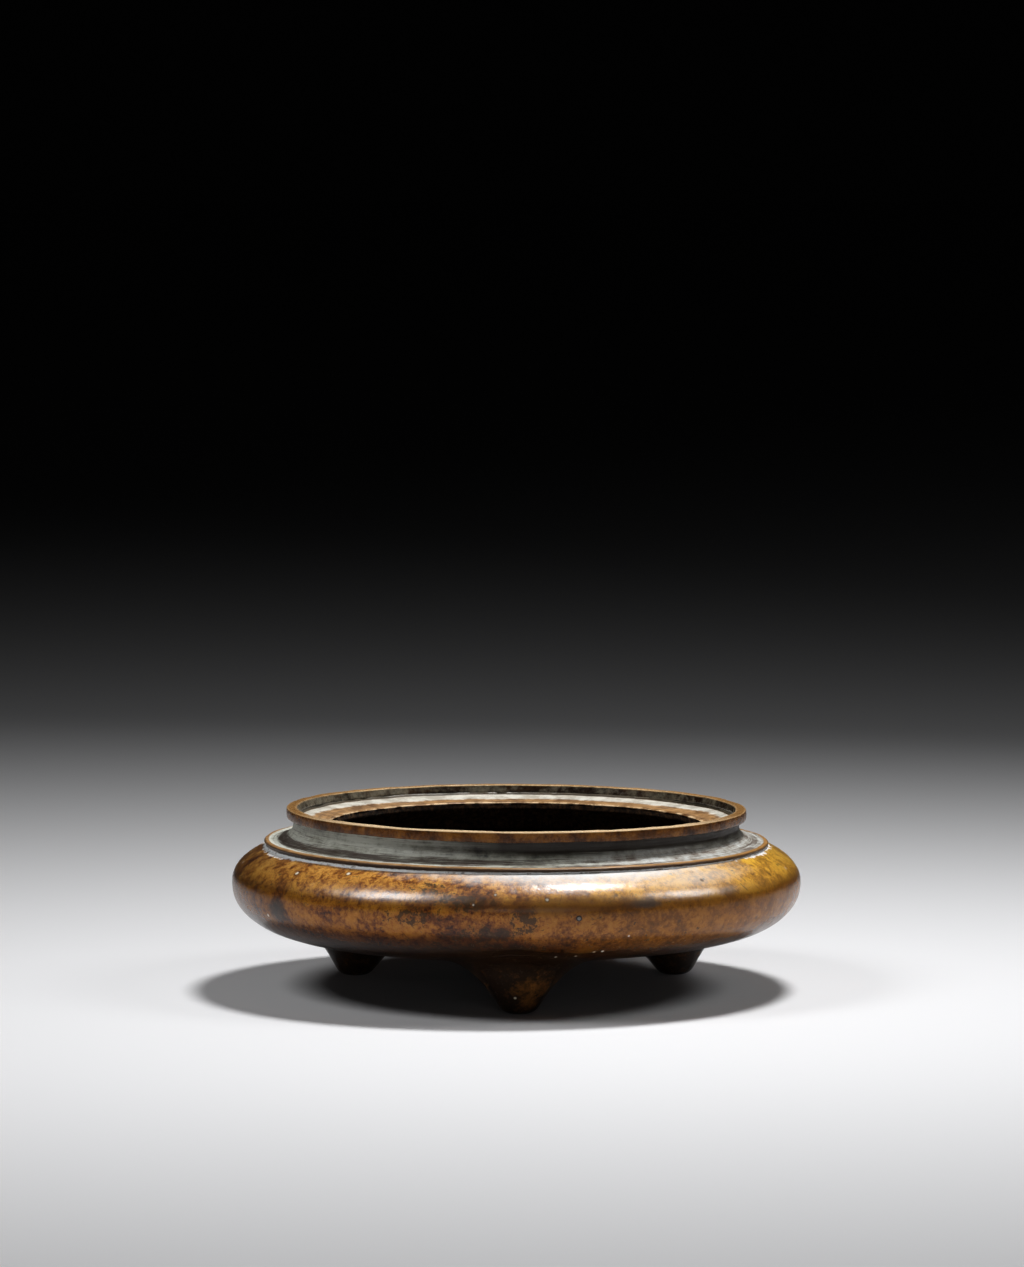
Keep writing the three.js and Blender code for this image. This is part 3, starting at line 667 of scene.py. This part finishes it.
colour = add(coat, "ShaderNodeValToRGB", {0: mottle})[0]
set_stops(colour, (0.40, "#2c2e31"), (0.46, "#72736c"), (0.52, "#adaea0"), (0.60, "#dcded2"))
# Right of the middle the foot of the neck is nearly white: partly pale crust, partly a painted highlight of
# the lamp overhead.
rub = add(coat, "ShaderNodeTexNoise",
          {"Vector": along, "Scale": per_metre(14), "Detail": 8.0, "Roughness": 0.7})["Fac"]
white_crust_and_highlight = add(coat, "ShaderNodeMapRange", {0: axes["X"], 1: 0.005, 2: 0.030, 4: 0.55})[0]
white_low = add(coat, "ShaderNodeMapRange", {0: level, 1: 0.0480, 2: 0.0462})[0]
white_crust_and_highlight = add(coat, "ShaderNodeMath", {0: white_crust_and_highlight, 1: white_low}, operation="MULTIPLY")[0]
white_tone = add(coat, "ShaderNodeValToRGB", {0: mottle})[0]
set_stops(white_tone, (0.44, "#70503c"), (0.51, "#b9b0a8"), (0.60, "#e4eaef"))
colour = add(coat, "ShaderNodeMix", {0: white_crust_and_highlight, 6: colour, 7: white_tone}, data_type="RGBA")[2]
# A purple-brown streak above the bead, on the left and in the middle, and small bare spots of it elsewhere.
streak_low = add(coat, "ShaderNodeMapRange", {0: level, 1: 0.0446, 2: 0.0450})[0]
streak_high = add(coat, "ShaderNodeMapRange", {0: level, 1: 0.0468, 2: 0.0458})[0]
streak_left = add(coat, "ShaderNodeMapRange", {0: axes["X"], 1: 0.020, 2: -0.015, 4: 0.2})[0]
streak = add(coat, "ShaderNodeMath", {0: streak_low, 1: streak_high}, operation="MULTIPLY")[0]
streak = add(coat, "ShaderNodeMath", {0: streak, 1: streak_left}, operation="MULTIPLY")[0]
streak = add(coat, "ShaderNodeMath", {0: streak, 1: rub}, operation="ADD")[0]
streak = add(coat, "ShaderNodeMapRange", {0: streak, 1: 0.56, 2: 0.65, 4: 0.85})[0]
colour = add(coat, "ShaderNodeMix", {0: streak, 6: colour, 7: linear("#473029")}, data_type="RGBA")[2]
# Brown metal shows on the bead and on the ledge; the bead's gold on its right is partly rubbed metal and
# partly painted light on its lit side.
brown_share = add(coat, "ShaderNodeMix", {0: 0.5, 2: rub, 3: blotches})[0]
brown = add(coat, "ShaderNodeValToRGB", {0: brown_share})[0]
set_stops(brown, (0.40, "#553319"), (0.60, "#c8975f"))
on_bead = add(coat, "ShaderNodeMapRange", {0: radius, 1: 0.0740, 2: 0.0743, 4: 0.95})[0]
on_ledge = add(coat, "ShaderNodeMapRange", {0: radius, 1: 0.0652, 2: 0.0649, 4: 0.95})[0]
rubbed = add(coat, "ShaderNodeMath", {0: on_bead, 1: on_ledge}, operation="MAXIMUM")[0]
colour = add(coat, "ShaderNodeMix", {0: rubbed, 6: colour, 7: brown}, data_type="RGBA")[2]
golden_and_lit = add(coat, "ShaderNodeMapRange", {0: axes["X"], 1: 0.000, 2: 0.050, 3: 0.2, 4: 0.65})[0]
golden_and_lit = add(coat, "ShaderNodeMath", {0: golden_and_lit, 1: on_bead}, operation="MULTIPLY")[0]
colour = add(coat, "ShaderNodeMix", {0: golden_and_lit, 6: colour, 7: linear("#c08a45")}, data_type="RGBA")[2]
# Crust lies thick and pale in the corners between lip and ledge and between neck and bead; the pale ring on
# the ledge is partly crust and partly a painted highlight.
narrower = add(coat, "ShaderNodeMapRange", {0: axes["Y"], 1: 0.050, 2: 0.020, 4: -0.0018})[0]
ledge_crust_and_highlight = add(coat, "ShaderNodeMath", {0: radius, 1: narrower}, operation="ADD")[0]
ledge_crust_and_highlight = add(coat, "ShaderNodeMapRange", {0: ledge_crust_and_highlight, 1: 0.0585, 2: 0.0614, 3: -0.3, 4: 0.4})[0]
ledge_crust_and_highlight = add(coat, "ShaderNodeMath", {0: ledge_crust_and_highlight, 1: blotches}, operation="ADD")[0]
ledge_crust_and_highlight = add(coat, "ShaderNodeMapRange", {0: ledge_crust_and_highlight, 1: 0.45, 2: 0.65, 4: 0.85})[0]
inner = add(coat, "ShaderNodeMapRange", {0: radius, 1: 0.0648, 2: 0.0645})[0]
ledge_crust_and_highlight = add(coat, "ShaderNodeMath", {0: ledge_crust_and_highlight, 1: inner}, operation="MULTIPLY")[0]
crease = add(coat, "ShaderNodeMapRange", {0: radius, 1: 0.0731, 2: 0.0738, 4: 0.3})[0]
crease_end = add(coat, "ShaderNodeMapRange", {0: radius, 1: 0.0743, 2: 0.0740})[0]
crease = add(coat, "ShaderNodeMath", {0: crease, 1: crease_end}, operation="MULTIPLY")[0]
thick_crust_and_highlight = add(coat, "ShaderNodeMath", {0: ledge_crust_and_highlight, 1: crease}, operation="MAXIMUM")[0]
thick_tone = add(coat, "ShaderNodeValToRGB", {0: blotches})[0]
set_stops(thick_tone, (0.42, "#c4beb0"), (0.58, "#ecebe0"))
colour = add(coat, "ShaderNodeMix", {0: thick_crust_and_highlight, 6: colour, 7: thick_tone}, data_type="RGBA")[2]
# The upright step above the ledge is dark.
step = add(coat, "ShaderNodeMapRange", {0: radius, 1: 0.0645, 2: 0.0648, 4: 0.9})[0]
step_end = add(coat, "ShaderNodeMapRange", {0: radius, 1: 0.0662, 2: 0.0658})[0]
step = add(coat, "ShaderNodeMath", {0: step, 1: step_end}, operation="MULTIPLY")[0]
colour = add(coat, "ShaderNodeMix", {0: step, 6: colour, 7: linear("#4b4437")}, data_type="RGBA")[2]
# Below its worn top the bead is dark.
bead_side = add(coat, "ShaderNodeMapRange", {0: level, 1: 0.0447, 2: 0.0443, 4: 0.9})[0]
bead_out = add(coat, "ShaderNodeMapRange", {0: radius, 1: 0.0748, 2: 0.0752})[0]
bead_side = add(coat, "ShaderNodeMath", {0: bead_side, 1: bead_out}, operation="MULTIPLY")[0]
colour = add(coat, "ShaderNodeMix", {0: bead_side, 6: colour, 7: linear("#2c190f")}, data_type="RGBA")[2]
# The mouth's edge has a thin, broken bright line, partly rubbed metal and partly a painted highlight.
mouth_edge_wear_and_highlight = add(coat, "ShaderNodeMapRange", {0: radius, 1: 0.0572, 2: 0.0565, 3: -0.4, 4: 0.13})[0]
mouth_edge_wear_and_highlight = add(coat, "ShaderNodeMath", {0: mouth_edge_wear_and_highlight, 1: blotches}, operation="ADD")[0]
mouth_edge_wear_and_highlight = add(coat, "ShaderNodeMapRange", {0: mouth_edge_wear_and_highlight, 1: 0.58, 2: 0.68, 4: 0.9})[0]
colour = add(coat, "ShaderNodeMix", {0: mouth_edge_wear_and_highlight, 6: colour, 7: linear("#f0cfa2")}, data_type="RGBA")[2]
# A thin, ragged line of crust lies in the corner below the bead; dirt stays in the dark joint of the tuck
# above that. Under the lip the neck is darkened with painted shade, less of it on the left.
corner_level = add(coat, "ShaderNodeMath", {0: level, 1: axes["Z"]}, operation="MAXIMUM")[0]
corner_level = add(coat, "ShaderNodeMath", {0: blotches, 1: 0.001, 2: corner_level},
                   operation="MULTIPLY_ADD")[0]
corner = add(coat, "ShaderNodeMapRange", {0: corner_level, 1: 0.0442, 2: 0.0439})[0]
thin = add(coat, "ShaderNodeMapRange", {0: blotches, 1: 0.40, 2: 0.48, 3: 0.3, 4: 1.0})[0]
corner = add(coat, "ShaderNodeMath", {0: corner, 1: thin}, operation="MULTIPLY")[0]
colour = add(coat, "ShaderNodeMix", {0: corner, 6: colour, 7: linear("#eef1f2")}, data_type="RGBA")[2]
tuck_low = add(coat, "ShaderNodeMapRange", {0: corner_level, 1: 0.0439, 2: 0.0442})[0]
tuck_high = add(coat, "ShaderNodeMapRange", {0: level, 1: 0.0441, 2: 0.0438, 4: 0.9})[0]
tuck = add(coat, "ShaderNodeMath", {0: tuck_low, 1: tuck_high}, operation="MULTIPLY")[0]
under_lip_shade = add(coat, "ShaderNodeMath", {0: streaks, 1: 0.006, 2: level}, operation="MULTIPLY_ADD")[0]
under_lip_shade = add(coat, "ShaderNodeMapRange", {0: under_lip_shade, 1: 0.0492, 2: 0.0515})[0]
shaded_side = add(coat, "ShaderNodeMapRange", {0: axes["X"], 1: -0.045, 2: -0.005, 3: 0.25, 4: 0.97})[0]
outer = add(coat, "ShaderNodeMapRange", {0: radius, 1: 0.0660, 2: 0.0664})[0]
for share in (shaded_side, outer):
    under_lip_shade = add(coat, "ShaderNodeMath", {0: under_lip_shade, 1: share}, operation="MULTIPLY")[0]
# This mask joins the tuck's dark joint and the painted shade under the lip.
dirt = add(coat, "ShaderNodeMath", {0: under_lip_shade, 1: tuck}, operation="MAXIMUM")[0]
colour = add(coat, "ShaderNodeMix", {0: dirt, 6: colour, 7: linear("#1f150d")}, data_type="RGBA")[2]
# Soot inside, with pale specks.
specks = add(coat, "ShaderNodeTexNoise",
             {"Vector": place, "Scale": per_metre(1.6), "Detail": 5.0, "Roughness": 0.75})["Fac"]
sooty = add(coat, "ShaderNodeValToRGB", {0: specks})[0]
set_stops(sooty, (0.45, "#1a0f08"), (0.68, "#6a4c30"))
soot = add(coat, "ShaderNodeAttribute", attribute_name="soot")["Fac"]
colour = add(coat, "ShaderNodeMix", {0: soot, 6: colour, 7: sooty}, data_type="RGBA")[2]
dull = add(coat, "ShaderNodeMapRange", {0: streaks, 1: 0.3, 2: 0.7, 3: 0.3, 4: 0.46})[0]
dull = add(coat, "ShaderNodeMix", {0: soot, 2: dull, 3: 0.9})[0]
# The casting's grain of 0.9 mm, and the streaks, stand up a little.
grain = add(coat, "ShaderNodeTexNoise",
            {"Vector": place, "Scale": per_metre(0.9), "Detail": 4.0, "Roughness": 0.6})["Fac"]
relief = add(coat, "ShaderNodeMath", {0: streaks, 1: 1.5, 2: grain}, operation="MULTIPLY_ADD")[0]
bump = add(coat, "ShaderNodeBump", {"Strength": 0.35, "Distance": 0.0002, "Height": relief})[0]
shader = add(coat, "ShaderNodeBsdfPrincipled", {
    "Base Color": colour, "Roughness": dull, "Normal": bump, "IOR": 1.38})[0]
add(coat, "ShaderNodeOutputMaterial", {0: shader})

made_plain(collar, worn, worn_sizes, {
    "Wander": 0.5 * MM, "Wander size": 12 * MM, "Dent": 0.15 * MM, "Dent size": 5 * MM,
    "Pit depth": 0.0, "Pit spacing": PIT_SPACING * MM, "Material": crusted})
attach(collar, "root")
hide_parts("neck_collar")

# The lip: a bronze hoop with an upright, slightly round band and a flat top, dropped over the neck's edge.
# Its edges are worn uneven and rubbed to gold, with a painted highlight along them, and dark spots are left
# on the band.
LIP_OVERHANG = 2.15
LIP_RISE = 2.2
LIP_SKIRT = 0.8
LIP_BULGE = 0.12
LIP_EASE = 0.2
LIP_FLARE = 0.6
LIP_GAP = 0.3  # between the skirt and the neck's upright edge
SKIRT_SLOPE = 0.05  # how much higher the skirt's inner edge is
lip_r = neck_r + LIP_OVERHANG
skirt_r = neck_r + LIP_GAP
band_r = lip_r - LIP_BULGE
top_z = lip_seat_z + LIP_RISE
skirt_z = lip_seat_z - LIP_SKIRT
band_z = (skirt_z + top_z) / 2
lip_section = joined(
    straight((skirt_r, skirt_z + SKIRT_SLOPE), (band_r - LIP_EASE, skirt_z), 3),
    arc(band_r - LIP_EASE, skirt_z + LIP_EASE, LIP_EASE, LIP_EASE, -90, -12, 4),
    arc(band_r, band_z, LIP_BULGE, band_z - skirt_z - LIP_EASE, -60, 60, 8),
    arc(band_r - LIP_EASE, top_z - LIP_EASE, LIP_EASE, LIP_EASE, 12, 90, 4),
    straight((band_r - LIP_EASE, top_z), (ledge_r + LIP_FLARE + LIP_EASE, top_z), 5),
    arc(ledge_r + LIP_FLARE + LIP_EASE, top_z - LIP_EASE, LIP_EASE, LIP_EASE, 90, 168, 4),
    straight((ledge_r + LIP_FLARE, top_z - LIP_EASE), (ledge_r, lip_seat_z), 4),
    straight((ledge_r, lip_seat_z), (skirt_r, lip_seat_z), 2),
)
LIP_LEAN = (-0.0055, -0.0035, 0)  # it sits low on the right, with the collar, and a little low at the back
lip = turned("lip_ring_body", lip_section, [0.0] * len(lip_section), LIP_LEAN)

# Brown patina rubbed through to gold on the upper edges, with painted highlights there and in front, and
# painted shade at both ends; dark mottles and spots are left on the band.
lip_skin, band = new_finish("brown bronze rubbed at the edges")
place = add(band, "ShaderNodeTexCoord")["Object"]
axes = add(band, "ShaderNodeSeparateXYZ", {0: place})
flat = add(band, "ShaderNodeCombineXYZ", {0: axes["X"], 1: axes["Y"]})[0]
radius = add(band, "ShaderNodeVectorMath", {0: flat}, operation="LENGTH")["Value"]
level = axes["Z"]
for axis, lean in zip("XY", LIP_LEAN):
    level = add(band, "ShaderNodeMath", {0: axes[axis], 1: -lean, 2: level}, operation="MULTIPLY_ADD")[0]
clouds = add(band, "ShaderNodeTexNoise",
             {"Vector": place, "Scale": per_metre(6), "Detail": 7.0, "Roughness": 0.75})["Fac"]
colour = add(band, "ShaderNodeValToRGB", {0: clouds})[0]
set_stops(colour, (0.38, "#341c0b"), (0.49, "#5e3611"), (0.62, "#885720"))
# The flat top is a dull brown, lightened in front with a painted highlight, and both ends of the lip are
# darkened with painted shade.
on_top = add(band, "ShaderNodeMapRange", {0: level, 1: 0.0539, 2: 0.0541, 4: 0.7})[0]
colour = add(band, "ShaderNodeMix", {0: on_top, 6: colour, 7: linear("#c8965a")}, data_type="RGBA")[2]
front_highlight = add(band, "ShaderNodeMapRange", {0: axes["Y"], 1: -0.020, 2: -0.050})[0]
front_highlight = add(band, "ShaderNodeMath", {0: front_highlight, 1: on_top}, operation="MULTIPLY")[0]
colour = add(band, "ShaderNodeMix", {0: front_highlight, 6: colour, 7: linear("#fbe0b8")}, data_type="RGBA")[2]
to_side = add(band, "ShaderNodeMath", {0: axes["X"]}, operation="ABSOLUTE")[0]
# Painted shade at both ends of the lip.
end_shade = add(band, "ShaderNodeMapRange", {0: to_side, 1: 0.045, 2: 0.066, 4: 0.4})[0]
colour = add(band, "ShaderNodeMix", {0: end_shade, 6: colour, 7: linear("#2c190b")}, data_type="RGBA")[2]
# The inner wall keeps a grey-green crust, paler on the left.
in_wall = add(band, "ShaderNodeMapRange", {0: radius, 1: 0.0659, 2: 0.0656, 4: 0.9})[0]
ragged = add(band, "ShaderNodeTexNoise",
             {"Vector": place, "Scale": per_metre(5), "Detail": 7.0, "Roughness": 0.7})["Fac"]
paler = add(band, "ShaderNodeMapRange", {0: axes["X"], 1: -0.010, 2: -0.050, 3: -0.05, 4: 0.06})[0]
paler = add(band, "ShaderNodeMath", {0: ragged, 1: paler}, operation="ADD")[0]
crust_tone = add(band, "ShaderNodeValToRGB", {0: paler})[0]
set_stops(crust_tone, (0.42, "#1b1612"), (0.64, "#7b7666"))
colour = add(band, "ShaderNodeMix", {0: in_wall, 6: colour, 7: crust_tone}, data_type="RGBA")[2]
# Both upper edges are lightened, partly rubbed metal and partly a painted highlight, less towards the ends
# and where the patina is dark.
edge_level = add(band, "ShaderNodeMapRange", {0: level, 1: 0.0538, 2: 0.0541})[0]
edge_out = add(band, "ShaderNodeMapRange", {0: radius, 1: 0.0682, 2: 0.0686, 4: 0.9})[0]
edge_in = add(band, "ShaderNodeMapRange", {0: radius, 1: 0.0664, 2: 0.0661, 4: 0.9})[0]
worn_edge = add(band, "ShaderNodeMapRange", {0: clouds, 1: 0.38, 2: 0.52, 3: 0.2, 4: 1.0})[0]
less = add(band, "ShaderNodeMapRange", {0: to_side, 1: 0.040, 2: 0.062, 3: 1.0, 4: 0.25})[0]
lip_edge_wear_and_highlight = add(band, "ShaderNodeMath", {0: edge_out, 1: edge_in}, operation="MAXIMUM")[0]
for share in (edge_level, worn_edge, less):
    lip_edge_wear_and_highlight = add(band, "ShaderNodeMath", {0: lip_edge_wear_and_highlight, 1: share}, operation="MULTIPLY")[0]
colour = add(band, "ShaderNodeMix", {0: lip_edge_wear_and_highlight, 6: colour, 7: linear("#f6d2a0")}, data_type="RGBA")[2]
# Dark spots of 3 mm, about 13 mm apart.
spots = add(band, "ShaderNodeTexVoronoi", {"Vector": place, "Scale": per_metre(13)})["Distance"]
spot = add(band, "ShaderNodeMapRange", {0: spots, 1: 0.13, 2: 0.08, 4: 0.85})[0]
colour = add(band, "ShaderNodeMix", {0: spot, 6: colour, 7: linear("#22180f")}, data_type="RGBA")[2]
grain = add(band, "ShaderNodeTexNoise",
            {"Vector": place, "Scale": per_metre(0.9), "Detail": 4.0, "Roughness": 0.6})["Fac"]
dull = add(band, "ShaderNodeMapRange", {0: grain, 1: 0.3, 2: 0.7, 3: 0.2, 4: 0.36})[0]
bump = add(band, "ShaderNodeBump", {"Strength": 0.3, "Distance": 0.0002, "Height": grain})[0]
shader = add(band, "ShaderNodeBsdfPrincipled", {
    "Base Color": colour, "Roughness": dull, "Normal": bump, "IOR": 1.3})[0]
add(band, "ShaderNodeOutputMaterial", {0: shader})

made_plain(lip, worn, worn_sizes, {
    "Wander": 0.6 * MM, "Wander size": 14 * MM, "Dent": 0.15 * MM, "Dent size": 4 * MM,
    "Pit depth": 0.0, "Pit spacing": PIT_SPACING * MM, "Material": lip_skin})
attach(lip, "root")
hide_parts("lip_ring")

# The stage: a plain sheet of pale paper in a dark room, under four soft boxes. The small one overhead looks
# at the floor in front and makes the shadow, one on each side lights the shoulder, and a wide, faint one
# behind the camera lifts the deepest shadow.
FLOOR_CORNERS = [(-6, -4, 0), (6, -4, 0), (6, 14, 0), (-6, 14, 0)]
floor_mesh = bpy.data.meshes.new("floor")
floor_mesh.from_pydata(FLOOR_CORNERS, [], [(0, 1, 2, 3)])
floor = bpy.data.objects.new("floor", floor_mesh)
bpy.context.scene.collection.objects.link(floor)
paper = bpy.data.materials.new("pale paper")
paper.use_nodes = True
paper_inputs = paper.node_tree.nodes["Principled BSDF"].inputs
paper_inputs["Base Color"].default_value = linear("#ededef")
paper_inputs["Roughness"].default_value = 0.8
floor_mesh.materials.append(paper)
LAMP_SPREAD = 120  # degrees; a grid keeps the light inside this cone


def lamp(name, at, toward, along, width, depth, power):
    """A soft box that looks at a place, its long side along a direction; metres and watts."""
    light = bpy.data.lights.new(name, "AREA")
    light.shape = "ELLIPSE"
    light.size = width
    light.size_y = depth
    light.energy = power
    light.spread = math.radians(LAMP_SPREAD)
    back = (Vector(at) - Vector(toward)).normalized()
    side = (Vector(along) - Vector(along).dot(back) * back).normalized()
    made = bpy.data.objects.new(name, light)
    made.location = at
    made.rotation_euler = Matrix((side, back.cross(side), back)).transposed().to_euler()
    bpy.context.scene.collection.objects.link(made)


lamp("overhead lamp", (0.165, 0.095, 0.75), (0, -0.14, 0), (1, 0, 0), 0.16, 0.16, 2.3)
lamp("left lamp", (-0.58, -0.235, 0.72), (0, 0, 0), (0.81, -0.48, 0.34), 0.37, 0.34, 1.02)
lamp("right lamp", (0.735, -0.07, 0.67), (0, 0, 0), (0.45, 0.68, -0.58), 0.34, 0.32, 0.73)
lamp("front fill", (0.2, -2.4, 0.3), (0, 0, 0), (1, 0, 0), 2.4, 0.6, 0.8)

room = bpy.data.worlds.new("dim studio")
room.use_nodes = True
room_inputs = room.node_tree.nodes["Background"].inputs
room_inputs["Color"].default_value = (1, 1, 1, 1)
room_inputs["Strength"].default_value = 0.0005
bpy.context.scene.world = room

# The camera: a long lens a little above the rim, as in the photograph.
# Its place and turn were fitted to the outline there, at this burner's size.
CAMERA_DISTANCE = 1935.3
CAMERA_HEIGHT = 267.8
CAMERA_SIDE = -27.96
CAMERA_TURN = 0.79  # degrees to the right
CAMERA_PITCH = 4.764  # degrees down
CAMERA_LENS = 184.43
FRAME_HEIGHT = 36
camera = bpy.data.cameras.new("camera")
camera.sensor_fit = "VERTICAL"
camera.sensor_height = FRAME_HEIGHT
camera.lens = CAMERA_LENS
view = bpy.data.objects.new("camera", camera)
view.location = in_metres((CAMERA_SIDE, -CAMERA_DISTANCE, CAMERA_HEIGHT))
view.rotation_euler = (math.radians(90 - CAMERA_PITCH), 0, -math.radians(CAMERA_TURN))
bpy.context.scene.collection.objects.link(view)
bpy.context.scene.camera = view
bpy.context.scene.view_settings.view_transform = "Standard"
